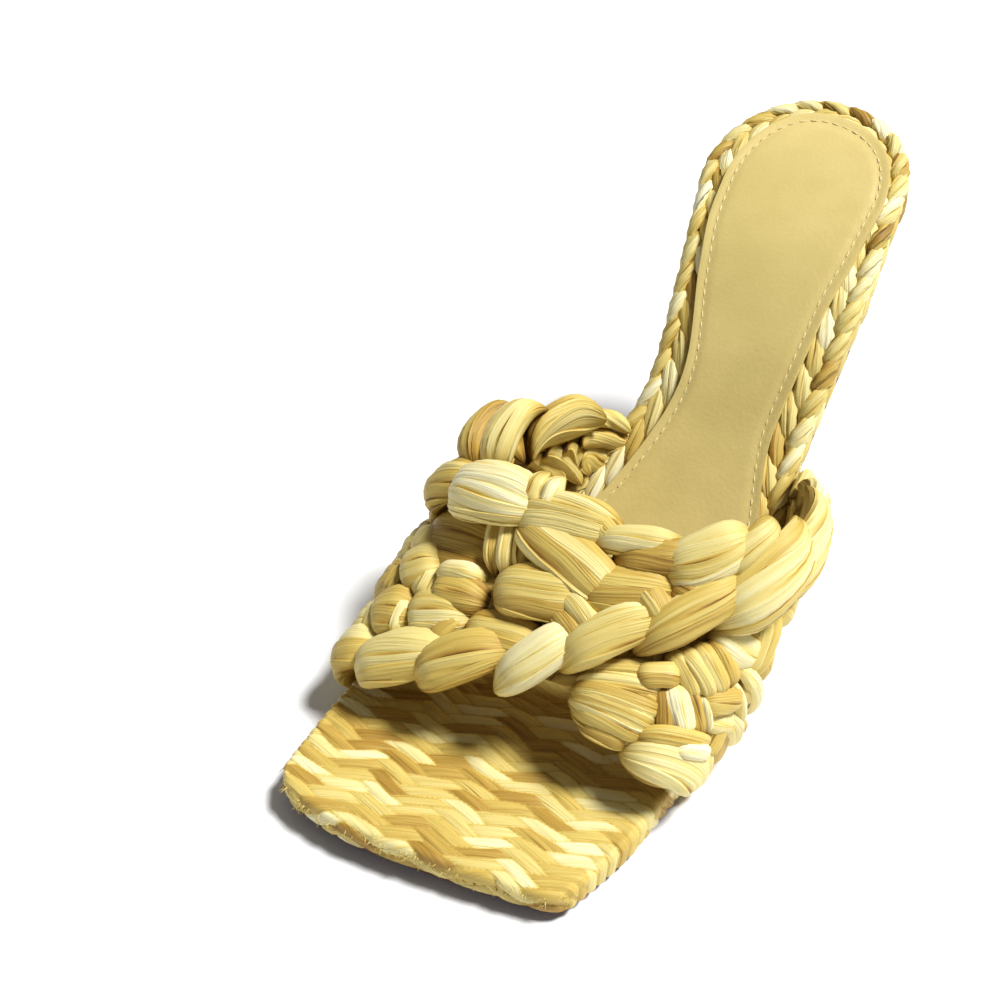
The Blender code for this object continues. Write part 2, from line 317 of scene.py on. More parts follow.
outsole = make_piece("sole_leaf", slab(
    outsole_place, lambda x, y: bed_bottom(y) - GAP,
    lambda y: bed_bottom(y) - bed_drop(y, OUTSOLE_THICKNESS), OUTSOLE_CELLS), sole_leather)
round_edges(outsole, OUTSOLE_EDGE_ROUND)
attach(outsole, "root")
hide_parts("outsole")


# Footbed core: the shaped sole board, covered in raffia. Most of it is hidden by the mat and the plait that
# are glued on it, so it lies a little inside them and is toned dark as painted shade where it shows between
# their strips.
HEEL_ROUND_START = 179.0
HEEL_ROUND_POWER = 2.15
CORE_INSET = 2.2
CORE_SINK = 1.6
CORE_EDGE_ROUND = 1.2
CORE_SHADE_TONE = 0.72
CORE_CELLS = (16, 60)


def round_end(across, start, end):
    """y of a rounded end that starts at the sides and reaches its end on the middle line."""
    return start + (end - start) * (1 - abs(across) ** HEEL_ROUND_POWER) ** (1 / HEEL_ROUND_POWER)


def footbed_place(across, along):
    """Plan of the footbed: across runs from -1, medial, to 1, lateral, and along from 0, toe, to 1, heel."""
    y = between(smooth(TOE_EDGE, 1, across), round_end(across, HEEL_ROUND_START, SHOE_LENGTH), along)
    return edge(min(y, HEEL_ROUND_START), side_of(across)) * abs(across), y


def core_place(across, along):
    """Plan of the core: the footbed's, drawn in all round."""
    x, y = footbed_place(across, CORE_INSET / SHOE_LENGTH + along * (1 - 2 * CORE_INSET / SHOE_LENGTH))
    return x - CORE_INSET * across, y


# Raffia: split palm leaf, softened and twisted. Straw with cream and brown runs, fine fibres along its length
# and a dull satin gloss. The tone attribute goes from nearly white, 0, to brown, 1, and also carries painted
# shade in gaps, creases, hidden sides and tucked ends; the fibre map is in mm.
RAFFIA_RUNS = (
    # width and length in mm, detail and roughness of the noise, how far it changes the tone
    (0.4, 30, 3, 0.6, 0.34),
    (1.1, 45, 2, 0.5, 0.3),
)
# Depth of the relief, how high streaks are beside fibres, and the roughness that fibres add to the least one.
FIBRE_DEPTH = 0.45
STREAK_HEIGHT = 1.2
LEAST_ROUGH = 0.38
MORE_ROUGH = 0.25
raffia, tree, shader = new_material("twisted raffia")
fibre_map = add_node(tree, "UVMap", uv_map="fibre")
tone = add_node(tree, "Attribute", attribute_name="tone").outputs["Fac"]
runs = []
run_tones = []
for width, length, detail, roughness, tones in RAFFIA_RUNS:
    place = add_node(tree, "Mapping", {"Vector": fibre_map, "Scale": (1 / width, 1 / length, 1.0)})
    run = add_node(
        tree, "TexNoise", {"Vector": place, "Scale": 1.0, "Detail": detail, "Roughness": roughness})
    runs.append(run)
    run_tones.append(add_node(tree, "Math", {0: run, 1: tones, 2: -tones / 2}, operation="MULTIPLY_ADD"))
fibres, streaks = runs
run_tone = add_node(tree, "Math", dict(enumerate(run_tones)))
full_tone = add_node(tree, "Math", {0: tone, 1: run_tone}, use_clamp=True)
raffia_ramp = add_node(tree, "ValToRGB", {"Fac": full_tone})
set_ramp(
    raffia_ramp, (0.0, "#F7EFC4"), (0.2, "#EADA90"), (0.42, "#D6BB60"), (0.64, "#B28C3A"), (0.82, "#74551E"),
    (1.0, "#2E1F0A"))
rough = add_node(tree, "Math", {0: fibres, 1: MORE_ROUGH, 2: LEAST_ROUGH}, operation="MULTIPLY_ADD")
fibre_height = add_node(tree, "Math", {0: streaks, 1: STREAK_HEIGHT, 2: fibres}, operation="MULTIPLY_ADD")
give_relief(shader, fibre_height, FIBRE_DEPTH, strength=1.0, roughness=rough)
set_inputs(shader, {"Base Color": raffia_ramp, "IOR": 1.45, "Specular IOR Level": 0.4})


def map_fibres(bm, place):
    """Gives each corner of a mesh the place of its vertex in the fibre pattern, in mm."""
    fibre_layer = bm.loops.layers.uv.new("fibre")
    for face in bm.faces:
        for loop in face.loops:
            loop[fibre_layer].uv = place(loop.vert)


core_bm = slab(core_place, lambda x, y: bed_top(y) - bed_drop(y, CORE_SINK), bed_bottom, CORE_CELLS)
core_shade_layer = core_bm.verts.layers.float.new("tone")
for vert in core_bm.verts:
    vert[core_shade_layer] = CORE_SHADE_TONE
map_fibres(core_bm, lambda vert: vert.co.xy / MM)
footbed = make_piece("footbed_core", core_bm, raffia)
round_edges(footbed, CORE_EDGE_ROUND)
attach(footbed, "root")
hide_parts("footbed")


# Toe mat: flat raffia strips woven in a slanting two-and-two twill, glued over the forepart of the footbed
# and turned down over its edges. Strips run in two directions and change from cream to caramel.
MAT_END = 0.42
MAT_CELLS = (280, 250)
MAT_CROWDING = 0.35
MAT_ROUND = 1.8
MAT_SINK = 0.4
MAT_SKIRT_STEPS = 8
MAT_FRONT = 12.0
STRIP_WIDTH = 3.4
STRIP_RISE = 0.8
STRIP_SHOULDER = 2.5
FLOAT_DIP = 0.65
STRIP_WAVER = 0.6
WAVER_ACROSS = 5.3
WAVER_ALONG = 3.7
# Directions of the strips in plan, in degrees from straight across.
STRIP_TURNS = (29, -12)
# Tones of the palest and the darkest strip, the painted shade of the gaps between them, the share of a
# strip's height over which it takes its own tone, and how far apart along the fibre pattern two strips may
# start.
MAT_TONES = (0.08, 0.68)
MAT_GAP_SHADE = 0.56
GAP_SHARE = 0.6
FIBRE_SHIFT = 90.0


@lru_cache(maxsize=None)
def pick(*keys):
    """A repeatable number from 0 to 1 for a strip, a bundle or a float."""
    return random.Random("/".join(str(key) for key in keys)).random()


def strip_map(x, y, turn):
    """A place of the mat's plan as millimetres across and along the strips of one direction."""
    angle = math.radians(turn)
    return y * math.cos(angle) - x * math.sin(angle), x * math.cos(angle) + y * math.sin(angle)


def twill(x, y):
    """The float on top at a place of the mat: its direction, its key, and the place across and along it."""
    x += STRIP_WAVER * math.sin(x / WAVER_ACROSS + y / WAVER_ALONG)
    y += STRIP_WAVER * math.sin(x / WAVER_ALONG - y / WAVER_ACROSS)
    across = [strip_map(x, y, turn)[0] / STRIP_WIDTH for turn in STRIP_TURNS]
    cells = [math.floor(place) for place in across]
    phase = (cells[0] - cells[1]) % 4
    if phase < 2:
        upper, key, crossed = 0, (0, cells[0], cells[1] + phase), 1 - phase
    else:
        upper, key, crossed = 1, (1, cells[1], cells[0] - phase), phase - 2
    return upper, key, 2 * (across[upper] % 1) - 1, (crossed + across[1 - upper] % 1) / 2


mat_bm = new_sheet(MAT_CELLS)
plan_x = mat_bm.verts.layers.float.new("plan_x")
plan_y = mat_bm.verts.layers.float.new("plan_y")
mat_tone = mat_bm.verts.layers.float.new("tone")
# Its columns crowd towards the edges, where it turns down.
for vert in mat_bm.verts:
    u, v = vert.co.x, (vert.co.y + 1) / 2
    across = math.sin(u * math.pi / 2) * MAT_CROWDING + u * (1 - MAT_CROWDING)
    x, y = footbed_place(across, v * MAT_END)
    to_edge = min(abs(edge(y, side_of(x))) - abs(x), y - smooth(TOE_EDGE, 1, across))
    drop = MAT_ROUND - math.sqrt(max(0.0, MAT_ROUND ** 2 - max(0.0, MAT_ROUND - to_edge) ** 2))
    vert[plan_x], vert[plan_y] = x, y
    vert.co = Vector((x, y, bed_top(y) - drop))

# The edges turn down all round but at the back end, which lies under the upper.
turned_edges = []
for rim_edge in mat_bm.edges:
    first, second = [vert.co for vert in rim_edge.verts]
    runs_back = abs(first.y - second.y) > abs(first.x - second.x)
    if rim_edge.is_boundary and (runs_back or first.y < MAT_FRONT):
        turned_edges.append(rim_edge)
for step in range(MAT_SKIRT_STEPS):
    drawn = bmesh.ops.extrude_edge_only(mat_bm, edges=turned_edges)["geom"]
    turned_edges = [g for g in drawn if isinstance(g, bmesh.types.BMEdge)]
    for vert in [g for g in drawn if isinstance(g, bmesh.types.BMVert)]:
        x, y = vert.co.x, vert.co.y
        depth = (bed_top(y) - MAT_ROUND - bed_bottom(y)) / MAT_SKIRT_STEPS
        vert.co.z -= depth
        if y < MAT_FRONT and abs(x) < abs(edge(y, side_of(x))) - GAP:
            vert[plan_y] -= depth
        else:
            vert[plan_x] += math.copysign(depth, x)
mat_bm.normal_update()
raised = {}
for vert in mat_bm.verts:
    _, key, side, run = twill(vert[plan_x], vert[plan_y])
    rise = (1 - abs(side) ** STRIP_SHOULDER) ** 0.5 * (1 - FLOAT_DIP * (1 - math.sin(math.pi * run) ** 0.5))
    shade = between(*MAT_TONES, pick("float", *key))
    # Towards its edges each float fades to the painted shade of the gaps.
    vert[mat_tone] = between(MAT_GAP_SHADE, shade, min(1.0, rise / GAP_SHARE))
    raised[vert] = put(vert.co + vert.normal * (STRIP_RISE * rise - MAT_SINK))
for vert, place in raised.items():
    vert.co = place
fibre_layer = mat_bm.loops.layers.uv.new("fibre")
for face in mat_bm.faces:
    corners = len(face.verts)
    middle = sum(v[plan_x] for v in face.verts) / corners, sum(v[plan_y] for v in face.verts) / corners
    upper, key, _, _ = twill(*middle)
    shift = FIBRE_SHIFT * pick("fibre", *key)
    for loop in face.loops:
        fibre_across, fibre_along = strip_map(loop.vert[plan_x], loop.vert[plan_y], STRIP_TURNS[upper])
        loop[fibre_layer].uv = fibre_across + shift, fibre_along + shift
bmesh.ops.recalc_face_normals(mat_bm, faces=mat_bm.faces[:])
mat = make_piece("toe_mat", mat_bm, raffia)
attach(mat, "root")


# Toe frays: fibre ends of the mat that have worked loose along its front edge. Each is a single dry fibre,
# pointed at its end, that stands out a millimetre or two.
FRAYS = 120
FRAY_SIDES = 3
FRAY_TAPER = 0.25
FRAY_WIDTH = (0.2, 0.5)
FRAY_LENGTH = (0.8, 2.2)
FRAY_DEPTH = (1.0, 3.6)
FRAY_SPREAD = 0.8
FRAY_FALL = (-1.4, 0.1)
FRAY_TONES = (0.2, 0.5)


def new_plait():
    """An empty mesh with the layers that the raffia finish reads."""
    bm = bmesh.new()
    bm.verts.layers.float.new("tone")
    bm.loops.layers.uv.new("fibre")
    return bm


fray_bm = new_plait()
fray_tone = fray_bm.verts.layers.float["tone"]
for k in range(FRAYS):
    draw = random.Random(f"fray/{k}")
    x, y = footbed_place(draw.uniform(-1.0, 1.0), 0.0)
    start = Vector((x, y, bed_top(y) - draw.uniform(*FRAY_DEPTH)))
    heading = Vector((draw.uniform(-FRAY_SPREAD, FRAY_SPREAD), -1.0, draw.uniform(*FRAY_FALL))).normalized()
    length = draw.uniform(*FRAY_LENGTH)
    radius = draw.uniform(*FRAY_WIDTH) / 2 * MM
    middle = Matrix.Translation(put(start + heading * length / 2))
    made = bmesh.ops.create_cone(
        fray_bm, cap_ends=True, segments=FRAY_SIDES, radius1=radius, radius2=radius * FRAY_TAPER,
        depth=length * MM, matrix=middle @ heading.to_track_quat("Z", "Y").to_matrix().to_4x4())
    for vert in made["verts"]:
        vert[fray_tone] = draw.uniform(*FRAY_TONES)
frays = make_piece("toe_frays", fray_bm, raffia)
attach(frays, "root")


# Rim plait: bundles of raffia laid in a wheat-ear plait round the arch and heel, over the footbed's edge.
# It starts under the upper on the inner side and ends under it on the outer side, glued along its length.
RIM_START = 60.0
RIM_ROUND = 3.0
RIM_SINK = 3.3
RIM_SPACING = 8.0
RIM_STAGGER = 0.33
RIM_LEAN = 0.5
RIM_WIDTHS = (0.9, 1.1)
RIM_TUCK = 0.9
TUCK_POWER = 4
RIM_STRIPS = 3
RIM_FOLD = 0.35
RIM_BLUNT = 2.6
RIM_RINGS = 7
RIM_TONES = (0.02, 0.1, 0.16, 0.22, 0.3, 0.4, 0.54)
# Rows of the plait: where a bundle starts and ends across the rim (inwards on the top, negative down the
# side), its length along the rim, its width and its height.
RIM_ROWS = (
    (8.6, 3.2, 15, 5.2, 3.3),
    (-3.6, 2.8, 15, 5.6, 3.8),
    (-3.4, -8, 14, 5, 3.4),
)


# Columns of a strip, from the edge that lies on its neighbour to the edge that is tucked under the next one.
STRIP_COLUMNS = (
    # share of the strip's width, share of its overlap, share of the painted crease shade at its edge
    (0, 0, 1),
    (0.05, 1, 0.08),
    (0.34, 0.9, 0),
    (0.66, 0.5, 0),
    (0.96, 0, 0.25),
)
# Strips of one bundle differ in width and in the height of their folds. Each winds round its bundle and sways
# a little, and they crowd on the side that shows.
STRIP_SHARES = (0.6, 1.4)
FOLD_SHARES = (0.3, 1.0)
FOLD_POWER = 1.5
TWIST = (0.2, 0.5)
SWAY = 0.14
SWAYS = 2.4
CROWDING = 0.4
END_ROUND = 0.6
# Strips of one bundle differ in tone, and painted shade darkens the crease lines of the folds, the hidden
# sides and the tucked ends.
STRIP_TONES = 0.14
CREASE_SHADE_TONES = (0.3, 1.1)
FOLD_PLACES = (-0.7, 0.7)
FOLD_LENGTH = 0.5
PAINTED_SHADE_TONE = 0.32
PAINTED_SHADE_START = 0.2
END_SHADE_POWER = 6
DARKEST_TONE = 0.88
# How far apart in the fibre pattern two bundles may start.
BUNDLE_SHIFT = 400.0


def lay_bundle(bm, route, width, height, tone, key, strips, fold, blunt, rings, outward=1):
    """Lays a bundle of overlapping strips along a route, which gives a centre and a normal from -1 to 1."""
    one = new_plait()
    tone_layer = one.verts.layers.float["tone"]
    fibre_layer = one.loops.layers.uv["fibre"]
    draw = random.Random(key)
    shift = draw.uniform(0.0, BUNDLE_SHIFT)
    wave = draw.uniform(0.0, math.tau)
    twist = draw.uniform(*TWIST)
    widths = [draw.uniform(*STRIP_SHARES) for _ in range(strips)]
    strip_tones = [draw.uniform(-STRIP_TONES, STRIP_TONES) for _ in range(strips)]
    strip_rises = [draw.uniform(*FOLD_SHARES) ** FOLD_POWER * fold for _ in range(strips)]
    crease_shade_tones = [draw.triangular(*CREASE_SHADE_TONES, CREASE_SHADE_TONES[0]) for _ in range(strips)]
    fold_places = [draw.uniform(*FOLD_PLACES) for _ in range(strips)]
    columns = strips * len(STRIP_COLUMNS)
    bmesh.ops.create_uvsphere(one, u_segments=columns, v_segments=rings, radius=1.0)
    length = (route(1.0)[0] - route(-1.0)[0]).length
    girth = (width + height) / 2 * math.pi / 2
    stations = {}
    places = {}
    for vert in one.verts:
        along = vert.co.z
        column = round(math.atan2(vert.co.x, vert.co.y) / math.tau * columns) % columns
        strip, part = divmod(column, len(STRIP_COLUMNS))
        share, rise, line = STRIP_COLUMNS[part]
        around = (sum(widths[:strip]) + widths[strip] * share) / sum(widths)
        turn = math.tau * around + twist * along + SWAY * math.sin(SWAYS * along + wave + 2 * strip)
        turn -= CROWDING * math.sin(turn)
        ring = round(along, 4)
        if ring not in stations:
            centre, normal = route(along)
            ahead = route(min(1.0, along + 1 / rings))[0]
            behind = route(max(-1.0, along - 1 / rings))[0]
            stations[ring] = centre, (ahead - behind).cross(normal).normalized(), normal
        centre, sideways, normal = stations[ring]
        full = (1 - min(1.0, abs(along)) ** blunt) ** END_ROUND
        lift = strip_rises[strip] * (rise - 0.5) * full
        place = centre + sideways * (math.sin(turn) * (width / 2 * full + lift))
        place += normal * (math.cos(turn) * (height / 2 * full + lift))
        place.z = max(place.z, bed_bottom(place.y))
        vert.co = put(place)
        # Painted shade: a dark crease line along part of some strip edges.
        crease_shade = line * crease_shade_tones[strip] * math.exp(-((along - fold_places[strip]) / FOLD_LENGTH) ** 2)
        # Painted shade on the side that faces the last (outward turns it round) and towards the tucked ends.
        painted_shade = max(0.0, PAINTED_SHADE_START - outward * math.cos(turn)) + abs(along) ** END_SHADE_POWER
        vert[tone_layer] = min(tone + strip_tones[strip] + crease_shade + PAINTED_SHADE_TONE * painted_shade, DARKEST_TONE)
        places[vert] = around, along
    for face in one.faces:
        farthest = max(places[loop.vert][0] for loop in face.loops)
        for loop in face.loops:
            around, along = places[loop.vert]
            if farthest - around > 0.5:
                around += 1.0
            loop[fibre_layer].uv = (around * girth + shift, along * length / 2 + shift)
    mesh = bpy.data.meshes.new("bundle")
    one.to_mesh(mesh)
    one.free()
    bm.from_mesh(mesh)
    bpy.data.meshes.remove(mesh)


SIDE_STEPS = 60
END_STEPS = 48


def round_the_heel(side_place, end_place):
    """Plan of a line up the inner side, round the heel and down the outer side."""
    shares = [i / SIDE_STEPS for i in range(SIDE_STEPS)]
    plan = [side_place(-1, share) for share in shares]
    plan += [end_place(-math.cos(math.pi * i / END_STEPS)) for i in range(END_STEPS + 1)]
    plan += [side_place(1, share) for share in reversed(shares)]
    return plan


def travel(line):
    """Distance along a line of points, at each of them."""
    distances = [0.0]
    for a, b in zip(line, line[1:]):
        distances.append(distances[-1] + (b - a).length)
    return distances


def walk(line, distances, at):
    """The place at a distance along a line of points."""
    i = min(max(bisect_right(distances, at) - 1, 0), len(line) - 2)
    share = (at - distances[i]) / (distances[i + 1] - distances[i])
    return line[i].lerp(line[i + 1], min(max(share, 0.0), 1.0))


def heading_at(line, distances, at, reach):
    """Direction of a line of points at a distance along it, from a little behind to as much ahead."""
    return (walk(line, distances, at + reach) - walk(line, distances, at - reach)).normalized()


def rim_side(side, share):
    """Plan of the rim along one side, from its start to the rounded heel."""
    y = between(RIM_START, HEEL_ROUND_START, share)
    return edge(y, side), y


rim_plan = round_the_heel(rim_side, lambda across: footbed_place(across, 1.0))
rim_line = [Vector((x, y, bed_top(y))) for x, y in rim_plan]
rim_travel = travel(rim_line)


def rim_surface(at, inward_by):
    """A place on the rim's rounded edge and its normal, inward_by over the edge, negative down the side."""
    point = walk(rim_line, rim_travel, at)
    up = bed_normal(point.y)
    inward = heading_at(rim_line, rim_travel, at, RIM_ROUND).cross(up).normalized()
    quarter = RIM_ROUND * math.pi / 4
    middle = point + inward * RIM_ROUND - up * RIM_ROUND
    angle = (min(max(inward_by / quarter, -1.0), 1.0) + 1) * math.pi / 4
    normal = up * math.sin(angle) - inward * math.cos(angle)
    place = middle + normal * RIM_ROUND
    if inward_by > quarter:
        place += inward * (inward_by - quarter)
    elif inward_by < -quarter:
        place -= up * (-inward_by - quarter)
    return place, normal


def along_rim(middle, length, start, end, height):
    """Route of a bundle along the rim, from start to end across it, its ends tucked down."""
    def route(t):
        place, normal = rim_surface(middle + t * length / 2, between(start, end, (t + 1) / 2))
        return place + normal * (height / 2 - RIM_SINK - RIM_TUCK * t ** TUCK_POWER), normal
    return route


rim_bm = new_plait()
rim_count = round(rim_travel[-1] / RIM_SPACING)
for row, (start, end, length, width, height) in enumerate(RIM_ROWS):
    for k in range(rim_count):
        middle = rim_travel[-1] * (k + 0.5 + RIM_STAGGER * row) / rim_count
        draw = random.Random(f"rim/{row}/{k}")
        lean = draw.uniform(-RIM_LEAN, RIM_LEAN)
        lay_bundle(
            rim_bm, along_rim(middle, length, start + lean, end + lean, height),
            width * draw.uniform(*RIM_WIDTHS), height, draw.choice(RIM_TONES), f"rim strip/{row}/{k}",
            RIM_STRIPS, RIM_FOLD, RIM_BLUNT, RIM_RINGS)
rim = make_piece("rim_plait", rim_bm, raffia)
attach(rim, "root")


# Insole: one piece of smooth calf leather on a thin foam, from under the upper to the heel. It is glued to
# the footbed and stitched round with pale thread, which draws in a shallow channel near its edge.
INSOLE_THICKNESS = 1.3
INSOLE_EDGE_ROUND = 0.5
INSOLE_START = 64.0
INSOLE_ROUND_START = 177.0
INSOLE_END = 201.0
INSOLE_CELLS = (44, 100)
STITCH_INSET = 2.4
STITCH_LENGTH = 2.2
STITCH_SPACING = 3.0
STITCH_WIDTH = 0.5
STITCH_HEIGHT = 0.36
STITCH_SIDES = 6
STITCH_RINGS = 5
CHANNEL_DEPTH = 0.45
CHANNEL_WIDTH = 1.1
# Plan of the leather insole, in the same way as the footbed's.
INSOLE = (
    # y, medial, lateral
    (64, 30, 37),
    (87, 25.6, 36),
    (108, 12, 30.3),
    (131, 5.7, 22.8),
    (154, 13.8, 22.9),
    (166, 17.8, 24.2),
    (177, 19.4, 24.3),
)


def insole_place(across, along, inset=0.0):
    """Plan of the insole: a straight front end under the upper, and a rounded heel end."""
    y = between(INSOLE_START, round_end(across, INSOLE_ROUND_START, INSOLE_END - inset), along)
    width = smooth(INSOLE, 1 if across < 0 else 2, y) - inset
    return across * width, y


def insole_top(y):
    return bed_top(y) + GAP + bed_drop(y, INSOLE_THICKNESS)


# The stitched line keeps an even distance from the edge.
stitch_plan = round_the_heel(
    lambda side, share: insole_place(side, share, STITCH_INSET),
    lambda across: insole_place(across, 1.0, STITCH_INSET))
stitch_line = [Vector((x, y, insole_top(y))) for x, y in stitch_plan]


def leather_top(x, y):
    """Top of the leather, drawn in along the stitched line."""
    near = min((Vector((x, y)) - place.xy).length for place in stitch_line)
    return insole_top(y) - CHANNEL_DEPTH * math.exp(-(near / CHANNEL_WIDTH) ** 2)


# Finished calf leather: olive tan, fine pebbled grain, faint clouding, and a soft dull sheen.
CALF_GRAIN = 0.9
insole_leather, tree, shader, place, clouds = clouded_material(
    "finished calf leather", 22.0, (0.25, "#D2BD74"), (0.75, "#E2CC83"), Detail=5.0, Roughness=0.6)
grain = add_node(
    tree, "TexVoronoi", {"Vector": place, "Scale": 1 / (CALF_GRAIN * MM)}, feature="SMOOTH_F1")
rough = add_node(tree, "Math", {0: clouds, 1: 0.2, 2: 0.38}, operation="MULTIPLY_ADD")
give_relief(shader, grain, depth=0.1, strength=0.4, roughness=rough)

insole = make_piece("insole_sock", slab(
    insole_place, leather_top, lambda y: bed_top(y) + GAP, INSOLE_CELLS), insole_leather)
round_edges(insole, INSOLE_EDGE_ROUND)
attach(insole, "root")
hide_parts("insole")


# Insole stitches: even stitches round the insole, sewn through leather and board, that lie in the channel.
# They are waxed polyester thread, pale cream, and its tight twist shows as fine clouds.
thread, _, shader, _, _ = clouded_material("waxed thread", 0.5, (0.3, "#D8C384"), (0.7, "#EBDCA6"))
set_inputs(shader, {"Roughness": 0.5})

stitch_bm = bmesh.new()
stitch_travel = travel(stitch_line)
for k in range(int(stitch_travel[-1] / STITCH_SPACING)):
    at = (k + 0.5) * STITCH_SPACING
    middle = walk(stitch_line, stitch_travel, at)
    heading = heading_at(stitch_line, stitch_travel, at, STITCH_LENGTH / 2)
    sideways = heading.cross(bed_normal(middle.y)).normalized()
    up = sideways.cross(heading)
    axes = sideways * STITCH_WIDTH / 2, heading * STITCH_LENGTH / 2, up * STITCH_HEIGHT / 2
    turned = Matrix(axes).transposed()
    place = put(middle - up * (CHANNEL_DEPTH - STITCH_HEIGHT / 2))
    bmesh.ops.create_uvsphere(
        stitch_bm, u_segments=STITCH_SIDES, v_segments=STITCH_RINGS, radius=1.0,
        matrix=Matrix.Translation(place) @ (turned * MM).to_4x4())
stitches = make_piece("insole_stitches", stitch_bm, thread)
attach(stitches, "root")


# Heel: a slim moulded block, covered in beige leather that is drawn round its back and sides. A second,
# darker piece covers the flat breast, and the two meet in a narrow painted line at its corners.
TIP_HEIGHT = 6.0
HEEL_LEVELS = 36
HEEL_SIDES = 72
SEAT_RINGS = 4
BREAST_FLAT = 0.55
BREAST_LINE = 0.8
BREAST_FACING = 0.55
MERGE_DISTANCE = 0.01
# Heel block: D-shaped levels from the tip's top (0) to the heel seat (1).
HEEL = (
    # level, breast, back, half width
    (0, 177, 190, 5),
    (0.3, 176.6, 190.6, 5.6),
    (0.58, 176, 192, 6.9),
    (0.76, 174.8, 195, 10.5),
    (0.88, 172.6, 199.4, 17),
    (1, 169.5, 205.5, 25),
)


def heel_ring(level, angle):
    """Plan of the heel at a level: a flat breast towards the toe and a rounded back."""
    breast = smooth(HEEL, 1, level)
    back = smooth(HEEL, 2, level)
    half_width = smooth(HEEL, 3, level)
    middle = breast + (back - breast) * BREAST_FLAT / (1 + BREAST_FLAT)
    depth = max(math.sin(angle), -BREAST_FLAT)
    return half_width * math.cos(angle), middle + (back - middle) * depth


# Dyed calf leather, beige round the back, browner on the breast and painted dark along its edges: faint
# clouds, a fine grain of small cells and a satin sheen.
HEEL_GRAIN = 0.8


def heel_leather(name, dark, light, roughness):
    material, tree, shader, place, _ = clouded_material(name, 9.0, (0.3, dark), (0.7, light), Detail=4.0)
    grain = add_node(tree, "TexVoronoi", {"Vector": place, "Scale": 1 / (HEEL_GRAIN * MM)})
    give_relief(shader, grain, depth=0.06, strength=0.35, roughness=roughness)
    return material


heel_cover = heel_leather("dyed heel leather", "#AE966D", "#BCA57C", 0.36)
breast_cover = heel_leather("dyed breast leather", "#967561", "#A4826D", 0.42)
breast_paint = heel_leather("painted leather edge", "#3A2B22", "#4E3B2E", 0.45)

rings = HEEL_LEVELS + SEAT_RINGS
heel_bm = new_sheet((HEEL_SIDES, rings))
foot = TIP_HEIGHT + GAP
seat_middle = (smooth(HEEL, 1, 1.0) + smooth(HEEL, 2, 1.0)) / 2
for vert in heel_bm.verts:
    angle = math.pi * vert.co.x
    ring = (vert.co.y + 1) / 2 * rings
    level = min(1.0, ring / HEEL_LEVELS)
    spread = 1 - max(0.0, ring - HEEL_LEVELS) / SEAT_RINGS
    x, y = heel_ring(level, angle)
    if level < 1.0:
        seat = bed_bottom(heel_ring(1.0, angle)[1])
    else:
        x, y = x * spread, between(seat_middle, y, spread)
        seat = bed_bottom(y)
    vert.co = put(Vector((x, y, between(foot, seat - GAP, level))))
bmesh.ops.remove_doubles(heel_bm, verts=heel_bm.verts[:], dist=MERGE_DISTANCE * MM)
bmesh.ops.holes_fill(heel_bm, edges=[e for e in heel_bm.edges if e.is_boundary])
bmesh.ops.recalc_face_normals(heel_bm, faces=heel_bm.faces[:])
for face in heel_bm.faces:
    if -face.normal.y > BREAST_FACING > abs(face.normal.x):
        face.material_index = 1
heel = make_piece("heel_block", heel_bm, heel_cover, breast_cover, breast_paint)
round_edges(heel, BREAST_LINE)
heel.modifiers["rounded edge"].material = 2
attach(heel, "root")
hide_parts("heel")


# Heel tip: the wearing piece that stands on the floor, moulded in polyurethane and flush with the block's
# lowest level. It is pinned up into the block, and renewed when it has worn down.
TIP_EDGE_ROUND = 0.6

# Moulded polyurethane: dense dark brown, matt and finely pitted.
tip_rubber, _, shader, _, pits = clouded_material(
    "moulded polyurethane", 0.9, (0.3, "#362F28"), (0.7, "#4D443A"), Detail=3.0)
give_relief(shader, pits, depth=0.08, strength=0.4, roughness=0.6)

tip_bm = bmesh.new()
bmesh.ops.create_cone(tip_bm, cap_ends=True, segments=HEEL_SIDES, radius1=1.0, radius2=1.0, depth=1.0)
for vert in tip_bm.verts:
    x, y = heel_ring(0.0, math.atan2(vert.co.y, vert.co.x))
    vert.co = put(Vector((x, y, TIP_HEIGHT if vert.co.z > 0 else 0.0)))
tip = make_piece("heel_lift", tip_bm, tip_rubber)
round_edges(tip, TIP_EDGE_ROUND)
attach(tip, "root")
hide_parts("heel_tip")


# Upper wall: the hidden turns of the plait, seen between the bundles and from inside the shoe. The strips lie
# flat there in a basket weave, toned darker than the outside as painted shade, with more painted shade in the
# gaps of the weave, and the wall is glued down round the footbed's side.
LAST_POWER = 2.5
GIRTH_STEP = 0.012
WRAP = 0.1
WALL_INSIDE = 0.5
WALL_OUTSIDE = 2.0
WEAVE_WIDTH = 9.0
WEAVE_RISE = 1.4
WEAVE_OUTER_RISE = 0.7
WEAVE_SLANT = 0.45
WALL_SHADED_TONES = (0.36, 0.6)
WALL_GAP_SHADE = 0.3
WALL_GIRTH = 75.0
WALL_CELLS = (120, 60)
# The last: height of its ridge, and how far each wall swells past the footbed's edge.
LAST = (
    # y, ridge, medial swell, lateral swell
    (24, 12, 0, 0),
    (36, 21.5, 1, 0.5),
    (46, 29.5, 3, 1.5),
    (56, 36.5, 4.5, 3),
    (66, 42.5, 6, 5),
    (76, 49, 7, 7),
    (86, 58, 7, 8.5),
    (96, 66.5, 5.5, 8.5),
    (106, 75, 4, 7),
    (118, 86, 2.5, 4.5),
    (136, 102, 1.5, 2),
)
# Front and back edges of the upper, by girth: -1 is the medial end, 0 the ridge, 1 the lateral end.
UPPER_EDGE = (
    # girth, front, back
    (-1, 37, 130),
    (-0.9, 33.5, 125),
    (-0.6, 29.5, 105),
    (-0.4, 29.5, 91),
    (-0.2, 32.5, 80),
    (0.02, 38, 77),
    (0.2, 39.5, 80),
    (0.35, 38.5, 86),
    (0.5, 38.5, 95),
    (0.72, 42, 111),
    (0.9, 47, 124),
    (1, 52, 128),
)
WALL_FRONT_EDGE = 6.0
WALL_BACK_EDGE = 5.0


